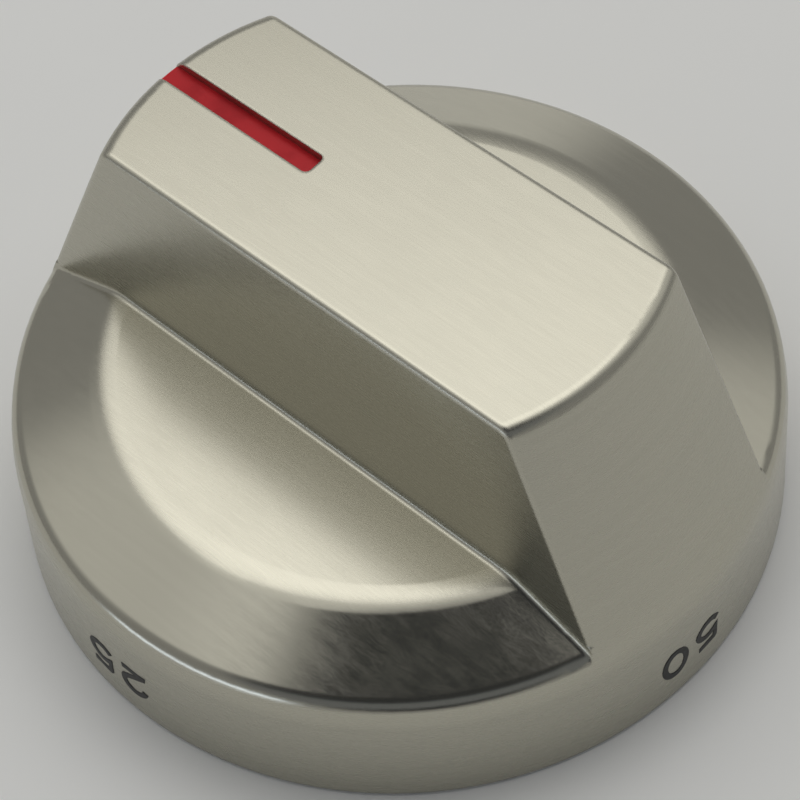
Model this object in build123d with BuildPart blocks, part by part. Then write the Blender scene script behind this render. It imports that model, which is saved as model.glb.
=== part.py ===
from build123d import *
from math import atan2, cos, radians, tan
import os

# Stove knob: a die-cast metal knob with a round skirt and a grip bar across it, a red pointer line
# in the bar's top and a spring leaf that grips the flatted valve stem.
# Frame, in millimetres: the origin is the middle of the rim, +Z runs along the stem's axis out of the
# stove, the bar lies along Y and its pointer end is at +Y.

# Outside of the casting
RIM_DIAMETER = 63.5
SKIRT_HEIGHT = 11.25
SKIRT_DRAFT = 2.4
KNOB_HEIGHT = 32.3
BAR_LENGTH = 44.4
BAR_WIDTH = 18.9
BAR_DRAFT = 2.8
END_BLEND = 8.0

# Scoops beside the bar: a flat dish, a rounded ridge, a sloping band and a lip above the skirt
DISH_RISE = 4.05
BAND_WIDTH = 8.0
LIP_WIDTH = 0.65
LIP_RISE = 1.1

# Rounded edges
END_ROUND = 1.2
EDGE_ROUND = 0.5
FOOT_ROUND = 0.4
RIDGE_ROUND = 6.0
LIP_ROUND = 1.6
RIM_CHAMFER = 0.4

# Hollow underside
WALL = 2.5
BAR_WALL = 3.0
TOP_WALL = 3.5
HUB_DIAMETER = 16.0
HUB_RECESS = 1.5
RIB_THICKNESS = 2.0
RIB_RECESS = 4.5

# Socket for the valve stem
STEM_DIAMETER = 8.0
STEM_ACROSS_FLAT = 6.2
STEM_CLEARANCE = 0.1
SOCKET_DEPTH = 18.0
LEAD_IN = 0.6

# Spring leaf behind the stem's flat
CLIP_WIDTH = 5.0
CLIP_THICKNESS = 0.4
CLIP_LENGTH = 13.0
CLIP_FOOT = 2.0
CLIP_TIP = 1.3
CLIP_BOW = 0.4
CLIP_TAB = 3.0
CLIP_CLEARANCE = 0.1
CLIP_SLOT_DEPTH = 1.1

# Pointer line
GROOVE_WIDTH = 2.1
GROOVE_LENGTH = 15.6
GROOVE_ROUND = 0.5
INLAY_RECESS = 0.8
INLAY_THICKNESS = 0.6
INLAY_ROUND = 0.4

# Worked out from the sizes above
rim_radius = RIM_DIAMETER / 2
skirt_radius = rim_radius - SKIRT_HEIGHT * tan(radians(SKIRT_DRAFT))
bar_end = BAR_LENGTH / 2
dish_height = SKIRT_HEIGHT + DISH_RISE
ridge_radius = skirt_radius - BAND_WIDTH
lip_radius = skirt_radius - LIP_WIDTH
lip_height = SKIRT_HEIGHT + LIP_RISE
bar_slope = tan(radians(BAR_DRAFT))
end_lean = atan2(skirt_radius - bar_end, KNOB_HEIGHT - SKIRT_HEIGHT)
blend_top = SKIRT_HEIGHT + END_BLEND * tan((end_lean - radians(SKIRT_DRAFT)) / 2)
edge_start = blend_top + EDGE_ROUND
ceiling = KNOB_HEIGHT - TOP_WALL
socket_radius = STEM_DIAMETER / 2 + STEM_CLEARANCE
flat_y = STEM_DIAMETER / 2 - STEM_ACROSS_FLAT - STEM_CLEARANCE
slot_back_y = flat_y - CLIP_SLOT_DEPTH
slot_width = CLIP_WIDTH + 2 * CLIP_CLEARANCE
groove_end_y = bar_end - GROOVE_LENGTH
groove_floor = KNOB_HEIGHT - INLAY_RECESS - INLAY_THICKNESS

# How far cutting shapes run past the surface that they cut
MARGIN = 5.0


def corner(sketch, x, z):
    """The sketch's corner nearest to the point x, z of its plane."""
    return sketch.vertices().sort_by_distance(Vector(x, z, 0))[0]


def bar_half_width(z, wall=0.0):
    """Half the bar's width at height z, or half the width inside a wall of that thickness."""
    return BAR_WIDTH / 2 + (KNOB_HEIGHT - z) * bar_slope - wall / cos(radians(BAR_DRAFT))


def bar_section(low, high, wall=0.0):
    """The bar's tapered cross-section between two heights, inside a wall of that thickness."""
    with BuildLine() as outline:
        Polyline(
            (-bar_half_width(low, wall), low),
            (bar_half_width(low, wall), low),
            (bar_half_width(high, wall), high),
            (-bar_half_width(high, wall), high),
            close=True,
        )
    return outline.line


def side_edges(part):
    """The edges round the flat faces that look more along X than along Z: the two sides of the bar."""
    flats = part.faces().filter_by(GeomType.PLANE)
    return flats.filter_by(lambda f: abs(f.normal_at().X) > abs(f.normal_at().Z)).edges()


# Half section of the knob as turned, before the scoops: skirt, end face of the bar and flat top
with BuildSketch(Plane.XZ) as turned_section:
    with BuildLine():
        Polyline(
            (0, 0),
            (rim_radius, 0),
            (skirt_radius, SKIRT_HEIGHT),
            (bar_end, KNOB_HEIGHT),
            (0, KNOB_HEIGHT),
            close=True,
        )
    make_face()
    chamfer(corner(turned_section, rim_radius, 0), RIM_CHAMFER)
    fillet(corner(turned_section, skirt_radius, SKIRT_HEIGHT), END_BLEND)
    fillet(corner(turned_section, bar_end, KNOB_HEIGHT), END_ROUND)

# Scoops: all that is above the dish, the band and the lip, apart from the bar
with BuildPart() as scoops:
    scoop_radius = rim_radius + MARGIN
    scoop_top = KNOB_HEIGHT + MARGIN
    lip_foot = lip_height - (scoop_radius - lip_radius) * LIP_RISE / LIP_WIDTH
    with BuildSketch(Plane.XZ) as scoop_section:
        with BuildLine():
            Polyline(
                (0, dish_height),
                (ridge_radius, dish_height),
                (lip_radius, lip_height),
                (scoop_radius, lip_foot),
                (scoop_radius, scoop_top),
                (0, scoop_top),
                close=True,
            )
        make_face()
        fillet(corner(scoop_section, ridge_radius, dish_height), RIDGE_ROUND)
        fillet(corner(scoop_section, lip_radius, lip_height), LIP_ROUND)
    revolve(axis=Axis.Z)
    with BuildSketch(Plane.XZ):
        add(bar_section(lip_foot - MARGIN, scoop_top))
        make_face()
    extrude(amount=2 * scoop_radius, both=True, mode=Mode.SUBTRACT)
    fillet(side_edges(scoops).filter_by(lambda e: (e @ 0.5).Z < dish_height + FOOT_ROUND), FOOT_ROUND)

# Core of the casting: the round hollow and the pocket up inside the bar, round the hub and its ribs
with BuildPart() as bar_pocket:
    with BuildSketch(Plane.XZ):
        with BuildLine():
            Polyline(
                (-BAR_WALL, -BAR_WALL),
                (rim_radius, -BAR_WALL),
                (skirt_radius, SKIRT_HEIGHT),
                (bar_end, KNOB_HEIGHT),
                (-BAR_WALL, KNOB_HEIGHT),
                close=True,
            )
        make_face()
        offset(amount=-BAR_WALL, kind=Kind.INTERSECTION)
    revolve(axis=Axis.Z)
    with BuildSketch(Plane.XZ):
        add(bar_section(SKIRT_HEIGHT / 2, ceiling, BAR_WALL))
        make_face()
    extrude(amount=RIM_DIAMETER, both=True, mode=Mode.INTERSECT)

with BuildPart() as casting_core:
    with BuildSketch(Plane.XZ):
        with BuildLine():
            Polyline(
                (-WALL, -WALL),
                (rim_radius, -WALL),
                (skirt_radius, SKIRT_HEIGHT),
                (lip_radius, lip_height),
                (ridge_radius, dish_height),
                (-WALL, dish_height),
                close=True,
            )
        make_face()
        offset(amount=-WALL, kind=Kind.INTERSECTION)
    revolve(axis=Axis.Z)
    add(bar_pocket.part)
    with BuildSketch(Plane.XY.offset(HUB_RECESS)):
        Circle(HUB_DIAMETER / 2)
    extrude(amount=KNOB_HEIGHT, mode=Mode.SUBTRACT)
    with BuildSketch(Plane.XY.offset(RIB_RECESS)):
        Rectangle(RIM_DIAMETER, RIB_THICKNESS)
    extrude(amount=KNOB_HEIGHT, mode=Mode.SUBTRACT)

# Outline of the pointer groove, from its round-cornered end out through the bar's end face
with BuildSketch(Plane.XY.offset(groove_floor)) as groove_outline:
    with Locations((0, groove_end_y)):
        Rectangle(GROOVE_WIDTH, GROOVE_LENGTH + MARGIN, align=(Align.CENTER, Align.MIN))
    fillet(groove_outline.vertices().group_by(Axis.Y)[0], GROOVE_ROUND)

# The knob with its scoops, all edges of the bar still sharp
with BuildPart() as sharp_knob:
    add(turned_section.sketch)
    revolve(axis=Axis.Z)
    add(scoops.part, mode=Mode.SUBTRACT)

# Its upper half: the bar's edges are rounded down to just above the blend, and below they run out to a point
with BuildPart() as rounded_bar:
    add(sharp_knob.part)
    split(bisect_by=Plane.XY.offset(edge_start), keep=Keep.TOP)
    fillet(side_edges(rounded_bar).filter_by(lambda e: (e @ 0.5).Z > dish_height + FOOT_ROUND), EDGE_ROUND)

# The casting, with its socket for the stem and the seat of the spring leaf
with BuildPart() as knob_body:
    add(sharp_knob.part)
    split(bisect_by=Plane.XY.offset(edge_start), keep=Keep.BOTTOM)
    add(rounded_bar.part)
    add(casting_core.part, mode=Mode.SUBTRACT)
    with BuildSketch(Plane.XY.offset(HUB_RECESS)):
        Circle(socket_radius)
        with Locations((0, flat_y)):
            Rectangle(
                2 * STEM_DIAMETER,
                2 * STEM_DIAMETER,
                align=(Align.CENTER, Align.MIN),
                mode=Mode.INTERSECT,
            )
    extrude(amount=SOCKET_DEPTH, mode=Mode.SUBTRACT)
    with Locations((0, 0, HUB_RECESS)):
        Cone(
            socket_radius + LEAD_IN,
            socket_radius,
            LEAD_IN,
            align=(Align.CENTER, Align.CENTER, Align.MIN),
            mode=Mode.SUBTRACT,
        )
    with BuildSketch(Plane.XY.offset(HUB_RECESS)):
        with Locations((0, flat_y)):
            Rectangle(slot_width, CLIP_SLOT_DEPTH, align=(Align.CENTER, Align.MAX))
    extrude(amount=CLIP_LENGTH + CLIP_CLEARANCE, mode=Mode.SUBTRACT)
    with BuildSketch(Plane.XY.offset(HUB_RECESS)):
        with Locations((0, slot_back_y)):
            Rectangle(slot_width, CLIP_TAB + CLIP_CLEARANCE, align=(Align.CENTER, Align.MAX))
    extrude(amount=CLIP_THICKNESS, mode=Mode.SUBTRACT)
    add(groove_outline.sketch)
    extrude(amount=INLAY_RECESS + INLAY_THICKNESS + MARGIN, mode=Mode.SUBTRACT)
knob_body.part.label = "knob_body"

# Red filling of the groove, flush with the bar's end face and rounded over at that end
with BuildPart() as pointer_inlay:
    add(turned_section.sketch)
    revolve(axis=Axis.Z)
    add(groove_outline.sketch)
    extrude(amount=INLAY_THICKNESS, mode=Mode.INTERSECT)
    inlay_top = pointer_inlay.faces().sort_by(Axis.Z)[-1]
    fillet(inlay_top.edges().sort_by(Axis.Y)[-1], INLAY_ROUND)
pointer_inlay.part.label = "pointer_inlay"

# Spring leaf: a tab under the hub, a foot against the back of the slot and a bow into the socket
with BuildPart() as shaft_clip:
    leaf_back_y = slot_back_y + CLIP_THICKNESS / 2
    leaf_crest_y = flat_y + CLIP_BOW - CLIP_THICKNESS / 2
    tab_z = HUB_RECESS + CLIP_THICKNESS / 2
    bow_start_z = HUB_RECESS + CLIP_FOOT
    bow_end_z = HUB_RECESS + CLIP_LENGTH - CLIP_TIP
    with BuildSketch(Plane.YZ):
        with BuildLine() as leaf_path:
            Polyline(
                (slot_back_y - CLIP_TAB, tab_z),
                (leaf_back_y, tab_z),
                (leaf_back_y, bow_start_z),
            )
            Spline(
                (leaf_back_y, bow_start_z),
                (leaf_crest_y, (bow_start_z + bow_end_z) / 2),
                (leaf_back_y, bow_end_z),
                tangents=((0, 1), (0, 1)),
            )
            Line((leaf_back_y, bow_end_z), (leaf_back_y, HUB_RECESS + CLIP_LENGTH))
        trace(line_width=CLIP_THICKNESS)
    extrude(amount=CLIP_WIDTH / 2, both=True)
shaft_clip.part.label = "shaft_clip"

os.makedirs("parts", exist_ok=True)
export_step(knob_body.part, "parts/knob_body.step")
export_step(pointer_inlay.part, "parts/pointer_inlay.step")
export_step(shaft_clip.part, "parts/shaft_clip.step")
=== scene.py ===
# %% [markdown]
# # A satin metal stove knob
# The knob's solids come ready made from the frame: one die casting, a red filling in its pointer groove
# and a spring leaf in its socket. What is left to make here is how they look: brushed metal, enamel,
# rolled spring steel, and the scale that is printed round the skirt. Everything is in metres.

# %% Load the frame
import math

import bpy
import numpy as np
from mathutils import Matrix, Vector


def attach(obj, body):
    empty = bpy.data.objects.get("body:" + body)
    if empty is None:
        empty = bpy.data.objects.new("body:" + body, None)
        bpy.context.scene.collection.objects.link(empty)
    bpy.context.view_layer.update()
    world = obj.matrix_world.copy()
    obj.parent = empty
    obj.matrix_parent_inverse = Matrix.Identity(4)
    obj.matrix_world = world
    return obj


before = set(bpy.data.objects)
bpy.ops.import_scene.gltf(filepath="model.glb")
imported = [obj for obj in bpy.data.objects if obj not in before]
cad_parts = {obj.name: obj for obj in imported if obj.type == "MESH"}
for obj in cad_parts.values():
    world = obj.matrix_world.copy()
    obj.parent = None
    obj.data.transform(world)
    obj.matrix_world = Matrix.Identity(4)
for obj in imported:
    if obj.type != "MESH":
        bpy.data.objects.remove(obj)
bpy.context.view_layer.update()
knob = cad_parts["knob_body"]
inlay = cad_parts["pointer_inlay"]
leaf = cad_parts["shaft_clip"]
MM = 0.001

# %% [markdown]
# ## Small helpers for shader nodes
# A material is a graph of nodes. Adding a node, setting its choices and linking its sockets takes several
# lines each time, so one helper does all three: a socket gets either a plain value or another node's output.


# %% Node helpers
def add_node(tree, kind, inputs=None, **choices):
    """Adds a shader node, sets its choices, then fills each named socket with a value or a link."""
    made = tree.nodes.new("ShaderNode" + kind)
    for name, value in choices.items():
        setattr(made, name, value)
    for socket, value in (inputs or {}).items():
        if isinstance(value, bpy.types.NodeSocket):
            tree.links.new(value, made.inputs[socket])
        else:
            made.inputs[socket].default_value = value
    return made


def calc(tree, operation, *values):
    """The output of a Math node that works on one, two or three values or sockets."""
    return add_node(tree, "Math", dict(enumerate(values)), operation=operation).outputs[0]


def ramp(tree, value, low, high, start=0.0, end=1.0):
    """A smooth step: start where value is at low or under, end where it is at high or over."""
    inputs = {"Value": value, "From Min": low, "From Max": high, "To Min": start, "To Max": end}
    return add_node(tree, "MapRange", inputs, interpolation_type="SMOOTHSTEP").outputs["Result"]


def mixed(tree, factor, first, second):
    """A colour that goes from first to second as factor goes from 0 to 1."""
    made = add_node(tree, "Mix", data_type="RGBA")
    for socket, value in ((0, factor), (6, first), (7, second)):
        if isinstance(value, bpy.types.NodeSocket):
            tree.links.new(value, made.inputs[socket])
        else:
            made.inputs[socket].default_value = value
    return made.outputs[2]


def new_material(name):
    """A material whose graph holds just its Principled shader; both are returned."""
    material = bpy.data.materials.new(name)
    material.use_nodes = True
    return material, material.node_tree, material.node_tree.nodes["Principled BSDF"]


def millimetres(tree):
    """The point on the surface in the object's own frame, in millimetres."""
    place = add_node(tree, "TexCoord").outputs["Object"]
    return add_node(tree, "VectorMath", {0: place, "Scale": 1 / MM}, operation="SCALE").outputs[0]


# %% [markdown]
# ## Brush strokes
# Satin metal is rubbed with an abrasive belt, which leaves short fine strokes in the direction it ran.
# Noise does this if it is stretched: it changes slowly along the stroke and quickly across it. Two sizes are
# needed, single strokes and the broader streaks that they gather in, so both come from one node group that
# the casting and the spring leaf share.


# %% Node group for brush strokes
def new_group(name, inputs, outputs):
    """An empty shader node group with those named sockets, and its two end nodes."""
    group = bpy.data.node_groups.new(name, "ShaderNodeTree")
    for socket, kind, value in inputs:
        made = group.interface.new_socket(socket, in_out="INPUT", socket_type="NodeSocket" + kind)
        if value is not None:
            made.default_value = value
    for socket, kind in outputs:
        group.interface.new_socket(socket, in_out="OUTPUT", socket_type="NodeSocket" + kind)
    return group, group.nodes.new("NodeGroupInput"), group.nodes.new("NodeGroupOutput")


def stretched_noise(tree, point, along, across, detail):
    """Noise that varies over along millimetres in the point's X and over across in its Y and Z."""
    scale = add_node(tree, "CombineXYZ", {0: calc(tree, "DIVIDE", 1.0, along)}).outputs[0]
    for axis in (1, 2):
        tree.links.new(calc(tree, "DIVIDE", 1.0, across), scale.node.inputs[axis])
    moved = add_node(tree, "VectorMath", {0: point, 1: scale}, operation="MULTIPLY").outputs[0]
    return add_node(tree, "TexNoise", {"Vector": moved, "Scale": 1.0, "Detail": detail}).outputs["Fac"]


strokes, strokes_in, strokes_out = new_group(
    "brush_strokes",
    [("Point", "Vector", None), ("Length", "Float", 6.0), ("Width", "Float", 0.12)],
    [("Strokes", "Float"), ("Streaks", "Float")],
)
STREAK = 7.0
length, width = strokes_in.outputs["Length"], strokes_in.outputs["Width"]
fine = stretched_noise(strokes, strokes_in.outputs["Point"], length, width, 3.0)
long_streak = calc(strokes, "MULTIPLY", length, STREAK)
wide_streak = calc(strokes, "MULTIPLY", width, STREAK)
broad = stretched_noise(strokes, strokes_in.outputs["Point"], long_streak, wide_streak, 2.0)
strokes.links.new(ramp(strokes, fine, 0.3, 0.7), strokes_out.inputs["Strokes"])
strokes.links.new(ramp(strokes, broad, 0.3, 0.7), strokes_out.inputs["Streaks"])
print("group", strokes.name, [s.name for s in strokes.interface.items_tree])

# %% [markdown]
# ## Handling marks
# Metal and enamel that have been handled carry a faint film of finger grease: cloudy patches a few
# millimetres wide that are a little duller. A second group makes those clouds for any material.

# %% Node group for handling marks
marks, marks_in, marks_out = new_group(
    "handling_marks",
    [("Point", "Vector", None), ("Patch", "Float", 5.0)],
    [("Film", "Float")],
)
patch_size = marks_in.outputs["Patch"]
film = stretched_noise(marks, marks_in.outputs["Point"], patch_size, patch_size, 4.0)
marks.links.new(ramp(marks, film, 0.42, 0.68), marks_out.inputs["Film"])


def use_group(tree, group, **inputs):
    """Places a node group in a material and fills its sockets."""
    made = add_node(tree, "Group", node_tree=group)
    for socket, value in inputs.items():
        if isinstance(value, bpy.types.NodeSocket):
            tree.links.new(value, made.inputs[socket])
        else:
            made.inputs[socket].default_value = value
    return made.outputs


print("group", marks.name)

# %% [markdown]
# ## Satin metal
# On the real knob the belt ran along the bar over its top, its sides and the scoops, and round the axis on
# the skirt and the bar's two end faces. So the strokes need two frames, a straight one and a round one, and
# the face's direction and its distance from the axis choose between them. The sloping bands are rubbed
# smoother than the rest and show faint scratches, and all edges are a little worn. The hollow underside was
# never brushed: it keeps the duller, pitted skin of the casting.


# %% The casting's faces
METAL = (0.485, 0.468, 0.395, 1.0)
METAL_SHADE = (0.468, 0.452, 0.381, 1.0)
CAST_SKIN = (0.36, 0.355, 0.34, 1.0)
SATIN_ROUGH = (0.25, 0.29)
CAST_ROUGH = (0.45, 0.62)
BAND_POLISH = (0.12, 0.085)
FILM_ROUGH = 0.015
GRAIN_STRENGTH = 0.012
GRAIN_DEPTH = 0.03
WORN_EDGE = 0.3
BAND_FROM = 22.5
SKIRT_FROM = 30.0
INSIDE_RADIUS = 29.8
INSIDE_HEIGHT = 12.6
POCKET_HALF_WIDTH = 8.5
POCKET_HALF_LENGTH = 21.0
POCKET_HEIGHT = 29.7

satin, tree, shader = new_material("satin_metal")
point = millimetres(tree)
x, y, z = add_node(tree, "SeparateXYZ", {0: point}).outputs
facing = add_node(tree, "NewGeometry").outputs["Normal"]
facing_x, facing_y, facing_z = add_node(tree, "SeparateXYZ", {0: facing}).outputs
flat = add_node(tree, "CombineXYZ", {0: x, 1: y}).outputs[0]
radius = add_node(tree, "VectorMath", {0: flat}, operation="LENGTH").outputs["Value"]
turn = calc(tree, "ARCTAN2", x, calc(tree, "MULTIPLY", y, -1.0))
arc = calc(tree, "MULTIPLY", turn, radius)

# %% Where the belt ran straight and where it ran round
straight = add_node(tree, "CombineXYZ", {0: y, 1: x, 2: z}).outputs[0]
round_about = add_node(tree, "CombineXYZ", {0: arc, 1: radius, 2: z}).outputs[0]
end_face = ramp(tree, calc(tree, "ABSOLUTE", facing_y), 0.55, 0.7)
skirt = ramp(tree, radius, SKIRT_FROM, SKIRT_FROM + 0.5)
is_round = calc(tree, "MAXIMUM", end_face, skirt)
brush_point = add_node(tree, "Mix", {0: is_round, 4: straight, 5: round_about}, data_type="VECTOR").outputs[1]
brush = use_group(tree, strokes, Point=brush_point, Length=3.0, Width=0.09)
film = use_group(tree, marks, Point=point, Patch=6.0)["Film"]

# %% Where the casting's own skin shows
under = calc(tree, "LESS_THAN", facing_z, -0.1)
is_low = calc(tree, "LESS_THAN", z, INSIDE_HEIGHT)
low = calc(tree, "MULTIPLY", is_low, calc(tree, "LESS_THAN", radius, INSIDE_RADIUS))
in_width = calc(tree, "LESS_THAN", calc(tree, "ABSOLUTE", x), POCKET_HALF_WIDTH)
in_length = calc(tree, "LESS_THAN", calc(tree, "ABSOLUTE", y), POCKET_HALF_LENGTH)
in_plan = calc(tree, "MULTIPLY", in_width, in_length)
in_pocket = calc(tree, "MULTIPLY", in_plan, calc(tree, "LESS_THAN", z, POCKET_HEIGHT))
inside = calc(tree, "MAXIMUM", calc(tree, "MAXIMUM", under, low), in_pocket)
pits = add_node(tree, "TexNoise", {"Vector": point, "Scale": 2.2, "Detail": 5.0}).outputs["Fac"]

# %% Colour, roughness and relief of the casting
brushed = mixed(tree, calc(tree, "MULTIPLY", brush["Streaks"], 0.6), METAL, METAL_SHADE)
colour = mixed(tree, inside, brushed, CAST_SKIN)
stroke_rough = ramp(tree, brush["Strokes"], 0.0, 1.0, *SATIN_ROUGH)
satin_rough = calc(tree, "ADD", stroke_rough, calc(tree, "MULTIPLY", film, FILM_ROUGH))
sloping = calc(tree, "MULTIPLY", ramp(tree, facing_z, 0.985, 0.95), ramp(tree, facing_z, 0.4, 0.5))
on_band = calc(tree, "MULTIPLY", sloping, ramp(tree, radius, BAND_FROM, BAND_FROM + 1.0))
scratches = use_group(tree, strokes, Point=brush_point, Length=7.0, Width=0.1)["Streaks"]
polish = ramp(tree, scratches, 0.0, 1.0, *BAND_POLISH)
satin_rough = calc(tree, "SUBTRACT", satin_rough, calc(tree, "MULTIPLY", on_band, polish))
cast_rough = ramp(tree, pits, 0.3, 0.7, *CAST_ROUGH)
rough = add_node(tree, "Mix", {0: inside, 2: satin_rough, 3: cast_rough}, data_type="FLOAT").outputs[0]
relief = add_node(tree, "Mix", {0: inside, 2: brush["Strokes"], 3: pits}, data_type="FLOAT").outputs[0]
worn = add_node(tree, "Bevel", {"Radius": WORN_EDGE * MM}, samples=6).outputs["Normal"]
grain = {"Height": relief, "Strength": GRAIN_STRENGTH, "Distance": GRAIN_DEPTH * MM, "Normal": worn}
bump = add_node(tree, "Bump", grain).outputs["Normal"]
for socket, value in (("Base Color", colour), ("Roughness", rough), ("Normal", bump)):
    tree.links.new(value, shader.inputs[socket])
shader.inputs["Metallic"].default_value = 1.0
knob.data.materials.clear()
knob.data.materials.append(satin)
print("material", satin.name, len(tree.nodes), "nodes")

# %% [markdown]
# ## Red enamel
# The pointer line is a groove filled with red enamel. It is a plain opaque paint with a soft gloss: the
# colour is nearly even, a little deeper in faint clouds, and its surface has a slight orange-peel ripple.

# %% The pointer's enamel
ENAMEL = (0.58, 0.013, 0.021, 1.0)
ENAMEL_DEEP = (0.47, 0.010, 0.017, 1.0)

enamel, tree, shader = new_material("red_enamel")
point = millimetres(tree)
film = use_group(tree, marks, Point=point, Patch=2.5)["Film"]
peel = add_node(tree, "TexNoise", {"Vector": point, "Scale": 2.5, "Detail": 2.0}).outputs["Fac"]
bump = add_node(tree, "Bump", {"Height": peel, "Strength": 0.2, "Distance": 0.05 * MM}).outputs["Normal"]
tree.links.new(mixed(tree, film, ENAMEL, ENAMEL_DEEP), shader.inputs["Base Color"])
tree.links.new(ramp(tree, film, 0.0, 1.0, 0.34, 0.46), shader.inputs["Roughness"])
tree.links.new(bump, shader.inputs["Normal"])
shader.inputs["Specular IOR Level"].default_value = 0.2
inlay.data.materials.clear()
inlay.data.materials.append(enamel)
print("material", enamel.name)

# %% [markdown]
# ## Spring steel
# The leaf in the socket is cut from rolled strip. Rolling leaves fine lines along the strip and hardening
# leaves a bluish grey, so it takes the same brush strokes, along Z, in a darker, cooler metal.

# %% The leaf's rolled steel
STEEL = (0.40, 0.41, 0.43, 1.0)
STEEL_BLUE = (0.27, 0.29, 0.33, 1.0)

rolled, tree, shader = new_material("rolled_spring_steel")
point = millimetres(tree)
x, y, z = add_node(tree, "SeparateXYZ", {0: point}).outputs
along_strip = add_node(tree, "CombineXYZ", {0: z, 1: x, 2: y}).outputs[0]
brush = use_group(tree, strokes, Point=along_strip, Length=8.0, Width=0.08)
film = use_group(tree, marks, Point=point, Patch=3.0)["Film"]
rolled_lines = {"Height": brush["Strokes"], "Strength": 0.1, "Distance": 0.02 * MM}
bump = add_node(tree, "Bump", rolled_lines).outputs["Normal"]
tree.links.new(mixed(tree, film, STEEL, STEEL_BLUE), shader.inputs["Base Color"])
tree.links.new(ramp(tree, brush["Streaks"], 0.0, 1.0, 0.24, 0.38), shader.inputs["Roughness"])
tree.links.new(bump, shader.inputs["Normal"])
shader.inputs["Metallic"].default_value = 1.0
leaf.data.materials.clear()
leaf.data.materials.append(rolled)
print("material", rolled.name)

# %% [markdown]
# ## Numbers round the skirt
# The scale is printed in black ink on the skirt, a quarter turn apart, with the tops of the figures towards
# the stove. A font would do, but a figure is also just a pen stroke: a centre line made of arcs and straight
# runs, with the flat section of an ink line carried along it. Working it out flat and then wrapping it round
# the skirt's cone keeps every point on the metal.


# %% Centre lines of the figures
FIGURE_HEIGHT = 3.6
FIGURE_WIDTH = 2.9
STROKE = 0.62
STEPS = 24


def bow(centre, reach, start, stop, steps=STEPS):
    """Points of an ellipse round centre with half axes reach, from one angle to another in degrees."""
    angle = np.radians(np.linspace(start, stop, steps))
    return np.column_stack((centre[0] + reach[0] * np.cos(angle), centre[1] + reach[1] * np.sin(angle)))


def figure_lines():
    """The pen's path of each figure, in millimetres from the figure's lower left corner, and if it closes."""
    left, right = STROKE / 2, FIGURE_WIDTH - STROKE / 2
    low, high = STROKE / 2, FIGURE_HEIGHT - STROKE / 2
    middle = (left + right) / 2
    half = (right - left) / 2
    nought = bow((middle, (low + high) / 2), (half, (high - low) / 2), 90, -270, 2 * STEPS)[:-1]
    two_top = bow((middle, high - half * 0.95), (half, half * 0.95), 170, -30)
    two_foot = [(left + 0.12, low + 0.14), (left + 0.1, low), (left + 0.24, low), (right, low)]
    two = np.vstack((two_top, two_foot))
    bowl_high = FIGURE_HEIGHT * 0.62
    bowl = bow((middle - 0.08, (low + bowl_high) / 2), (half + 0.08, (bowl_high - low) / 2), 140, -150)
    five = np.vstack(([(right - 0.1, high), (left + 0.32, high), (left + 0.22, high - 0.1)], bowl))
    seven_flag = [(left, high), (right - 0.12, high), (right, high - 0.06), (right, high - 0.2)]
    seven = np.array(seven_flag + [(middle - 0.25, low)])
    return {"0": (nought, True), "2": (two, False), "5": (five, False), "7": (seven, False)}


# %% Carry the ink line's section along a path
INK_RISE = 0.035
INK_SUNK = 0.03


def ink_line(path, closes):
    """Sweeps a flat-topped section along path. At each point the section stands square to the path, so its
    corners are path + side * normal, at heights that run from under the metal over the top and back."""
    ahead = np.roll(path, -1, axis=0) - path
    behind = path - np.roll(path, 1, axis=0)
    if not closes:
        ahead[-1], behind[0] = behind[-1], ahead[0]
    ahead /= np.linalg.norm(ahead, axis=1, keepdims=True)
    behind /= np.linalg.norm(behind, axis=1, keepdims=True)
    along = ahead + behind
    along /= np.linalg.norm(along, axis=1, keepdims=True)
    mitre = 1 / np.maximum(np.sum(along * ahead, axis=1), 0.6)
    normal = np.column_stack((-along[:, 1], along[:, 0])) * mitre[:, None]
    side = STROKE / 2 * np.array([-1.0, -1.0, -0.86, -0.4, 0.4, 0.86, 1.0, 1.0])
    edge = 0.4 * INK_RISE
    rise = np.array([-INK_SUNK, edge, INK_RISE, INK_RISE, INK_RISE, INK_RISE, edge, -INK_SUNK])
    place = path[:, None, :] + side[None, :, None] * normal[:, None, :]
    points = np.concatenate((place, np.broadcast_to(rise[None, :, None], place.shape[:2] + (1,))), axis=2)
    rows, columns = points.shape[:2]
    row = np.arange(rows if closes else rows - 1)[:, None]
    column = np.arange(columns)[None, :]
    after, beside = (row + 1) % rows, (column + 1) % columns
    this_row, next_row = row * columns, after * columns
    corners = (this_row + column, next_row + column, next_row + beside, this_row + beside)
    faces = np.stack(corners, axis=2).reshape(-1, 4).tolist()
    if not closes:
        faces.append(list(range(columns)))
        faces.append(list(range((rows - 1) * columns, rows * columns))[::-1])
    return points.reshape(-1, 3), faces


# %% Wrap the figures round the skirt
RIM_RADIUS = 31.75
SKIRT_DRAFT = math.radians(2.4)
FOOT_HEIGHT = 6.5
GAP = 0.85
PRINT_TURN = 2.6


def wrapped(points, angle, wide):
    """Bends a flat number round the cone: across becomes an angle, up becomes towards the rim, and the
    height over the paper becomes the distance from the cone."""
    high = FOOT_HEIGHT - points[:, 1]
    reach = RIM_RADIUS - high * math.tan(SKIRT_DRAFT)
    turned = math.radians(angle) + (points[:, 0] - wide / 2) / reach
    out = reach + points[:, 2]
    return np.column_stack((out * np.sin(turned), out * np.cos(turned), high)) * MM


def new_piece(name, points, faces, material):
    """A mesh object at the origin that rides on the knob."""
    mesh = bpy.data.meshes.new(name)
    mesh.from_pydata(points.tolist(), [], faces)
    mesh.validate()
    mesh.materials.append(material)
    piece = bpy.data.objects.new(name, mesh)
    bpy.context.scene.collection.objects.link(piece)
    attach(piece, "root")
    return piece


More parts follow.
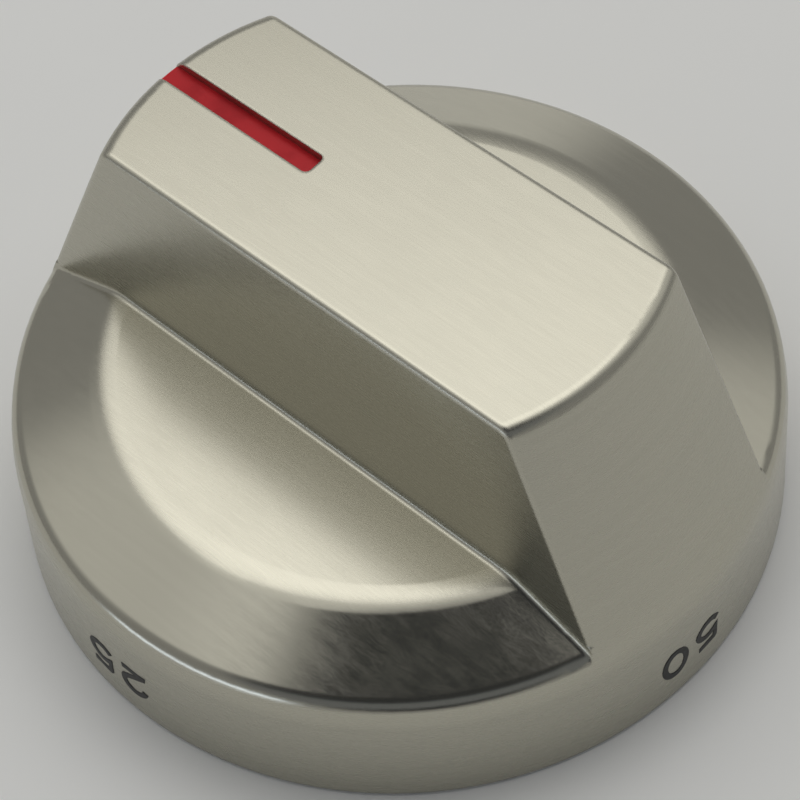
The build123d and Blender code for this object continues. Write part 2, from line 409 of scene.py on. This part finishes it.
# %% [markdown]
# ## Printing ink
# Pad-printed ink is a thin black film. It is never a pure black: it reflects a few percent, and it is a
# little uneven in gloss where it took on the brushed metal under it.

# %% The ink and the four numbers
INK = (0.016, 0.016, 0.017, 1.0)
INK_THIN = (0.045, 0.044, 0.042, 1.0)

ink, tree, shader = new_material("black_ink")
point = millimetres(tree)
film = use_group(tree, marks, Point=point, Patch=0.8)["Film"]
tree.links.new(mixed(tree, film, INK, INK_THIN), shader.inputs["Base Color"])
tree.links.new(ramp(tree, film, 0.0, 1.0, 0.42, 0.6), shader.inputs["Roughness"])
shader.inputs["Specular IOR Level"].default_value = 0.3

figures = figure_lines()
for number, angle in (("0", 0.0), ("25", -90.0), ("50", -180.0), ("75", 90.0)):
    wide = len(number) * FIGURE_WIDTH + (len(number) - 1) * GAP
    all_points, all_faces, count = [], [], 0
    for place, figure in enumerate(number):
        points, faces = ink_line(*figures[figure])
        points[:, 0] += place * (FIGURE_WIDTH + GAP)
        all_points.append(points)
        all_faces += [[corner + count for corner in face] for face in faces]
        count += len(points)
    bent = wrapped(np.vstack(all_points), angle + PRINT_TURN, wide)
    piece = new_piece("skirt_number_" + number, bent, all_faces, ink)
    print("number", number, "faces", len(all_faces))

# %% [markdown]
# ## Floor and light
# Metal shows mostly what is round it, so the light is what gives this knob its look. The floor is a plain
# pale sheet, and one large softbox hangs overhead, beyond the knob as the camera sees it.

# %% Floor
FLOOR_SIZE = 2.0
FLOOR = (0.92, 0.92, 0.91, 1.0)
FLOOR_SHADE = (0.9016, 0.9016, 0.8918, 1.0)

corners = np.array([(-1, -1, 0), (1, -1, 0), (1, 1, 0), (-1, 1, 0)], float) * FLOOR_SIZE
mesh = bpy.data.meshes.new("floor")
mesh.from_pydata(corners.tolist(), [], [(0, 1, 2, 3)])
floor = bpy.data.objects.new("floor", mesh)
bpy.context.scene.collection.objects.link(floor)
paper, tree, shader = new_material("pale_paper")
speck = add_node(tree, "TexNoise", {"Vector": millimetres(tree), "Scale": 0.05, "Detail": 2.0}).outputs["Fac"]
tree.links.new(mixed(tree, speck, FLOOR, FLOOR_SHADE), shader.inputs["Base Color"])
shader.inputs["Roughness"].default_value = 0.9
shader.inputs["Specular IOR Level"].default_value = 0.1
floor.data.materials.append(paper)


# %% Softbox
def towards(turn, elevation):
    """The unit vector at that turn from +Y towards +X and that elevation, both in degrees."""
    a, e = math.radians(turn), math.radians(elevation)
    return Vector((math.sin(a) * math.cos(e), math.cos(a) * math.cos(e), math.sin(e)))


def softbox(name, turn, elevation, distance, width, height, brightness, colour):
    """A rectangular lamp that faces the knob. Its power is brightness times its area times pi."""
    lamp = bpy.data.lights.new(name, "AREA")
    lamp.shape = "RECTANGLE"
    lamp.size, lamp.size_y = width, height
    lamp.energy = brightness * width * height * math.pi
    lamp.color = colour
    made = bpy.data.objects.new(name, lamp)
    direction = towards(turn, elevation)
    made.location = direction * distance
    made.rotation_euler = direction.to_track_quat("Z", "Y").to_euler()
    bpy.context.scene.collection.objects.link(made)
    return made


softbox(
    "overhead_softbox",
    turn=45.0,
    elevation=66.0,
    distance=1.0,
    width=0.97,
    height=0.73,
    brightness=1.02,
    colour=(1.0, 0.985, 0.95),
)

# %% [markdown]
# ## The room
# What the softbox doesn't cover comes from the world: grey walls that grow paler overhead, three pale
# patches on them, and a large unlit side behind the camera, which makes the near band dark. Halfway up, that
# side is only dim. A low window far to the left draws the thin cool line along the skirt's upper edge.

# %% Room
WALL_LOW = (0.32, 0.32, 0.316, 1.0)
WALL_HIGH = (0.85, 0.85, 0.83, 1.0)
PALE_WALL = (0.72, 0.72, 0.7, 1.0)
UNLIT = (0.042, 0.044, 0.049, 1.0)
DIM = (0.19, 0.2, 0.215, 1.0)
WINDOW = (1.7, 1.9, 2.2, 1.0)
# Turn, elevation, inner and outer angle of each pale patch, in degrees
PALE_PATCHES = ((112.0, 42.0, 4.0, 23.0), (50.0, 2.0, 8.0, 20.0), (-25.0, 47.0, 2.0, 24.0))

world = bpy.data.worlds.new("studio")
world.use_nodes = True
bpy.context.scene.world = world
tree = world.node_tree
sky = tree.nodes["Background"]
look = add_node(tree, "TexCoord").outputs["Generated"]
height = add_node(tree, "SeparateXYZ", {0: look}).outputs[2]


def patch(direction, inner, outer):
    """A mask: 1 within the inner angle of that direction, down to 0 at the outer one, in degrees."""
    near = add_node(tree, "VectorMath", {0: look, 1: direction}, operation="DOT_PRODUCT").outputs["Value"]
    return ramp(tree, near, math.cos(math.radians(outer)), math.cos(math.radians(inner)))


room = mixed(tree, ramp(tree, height, 0.71, 0.9), WALL_LOW, WALL_HIGH)
for turn, elevation, inner, outer in PALE_PATCHES:
    room = mixed(tree, patch(towards(turn, elevation), inner, outer), room, PALE_WALL)
dim_part = calc(tree, "MULTIPLY", ramp(tree, height, 0.25, 0.34), ramp(tree, height, 0.8, 0.68))
room = mixed(tree, patch(towards(-140.0, 45.0), 36.0, 43.0), room, mixed(tree, dim_part, UNLIT, DIM))
low_strip = calc(tree, "MULTIPLY", patch(towards(-82.0, 3.0), 18.0, 26.0), ramp(tree, height, 0.16, 0.1))
room = mixed(tree, low_strip, room, WINDOW)
tree.links.new(room, sky.inputs["Color"])
sky.inputs["Strength"].default_value = 1.0
print("world", world.name, len(tree.nodes), "nodes")

# %% [markdown]
# ## Camera
# The camera stands where the photograph was taken from: high over the rear left, with a long lens. Its
# three axes are worked out from azimuth, elevation and roll, and put straight into its matrix.

# %% Camera
AZIMUTH, ELEVATION, ROLL = (math.radians(a) for a in (-43.745, 54.232, -5.372))
AIM = Vector((0.0, 0.0, 9.34 * MM))
DISTANCE = 205.9 * MM

reach = math.cos(ELEVATION)
back = Vector((math.sin(AZIMUTH) * reach, -math.cos(AZIMUTH) * reach, math.sin(ELEVATION)))
level = Vector((0, 0, 1)).cross(back).normalized()
steep = back.cross(level)
right = level * math.cos(ROLL) + steep * math.sin(ROLL)
up = steep * math.cos(ROLL) - level * math.sin(ROLL)
lens = bpy.data.cameras.new("camera")
lens.sensor_width = 36.0
lens.lens = 114.2
lens.shift_x, lens.shift_y = 0.0026, -0.0131
lens.clip_start, lens.clip_end = 0.01, 20.0
camera = bpy.data.objects.new("camera", lens)
place = Matrix((right, up, back)).transposed().to_4x4()
place.translation = AIM + back * DISTANCE
camera.matrix_world = place
bpy.context.scene.collection.objects.link(camera)
bpy.context.scene.camera = camera
bpy.context.scene.view_settings.view_transform = "Standard"
print("camera at mm", [round(c / MM, 1) for c in camera.matrix_world.translation])
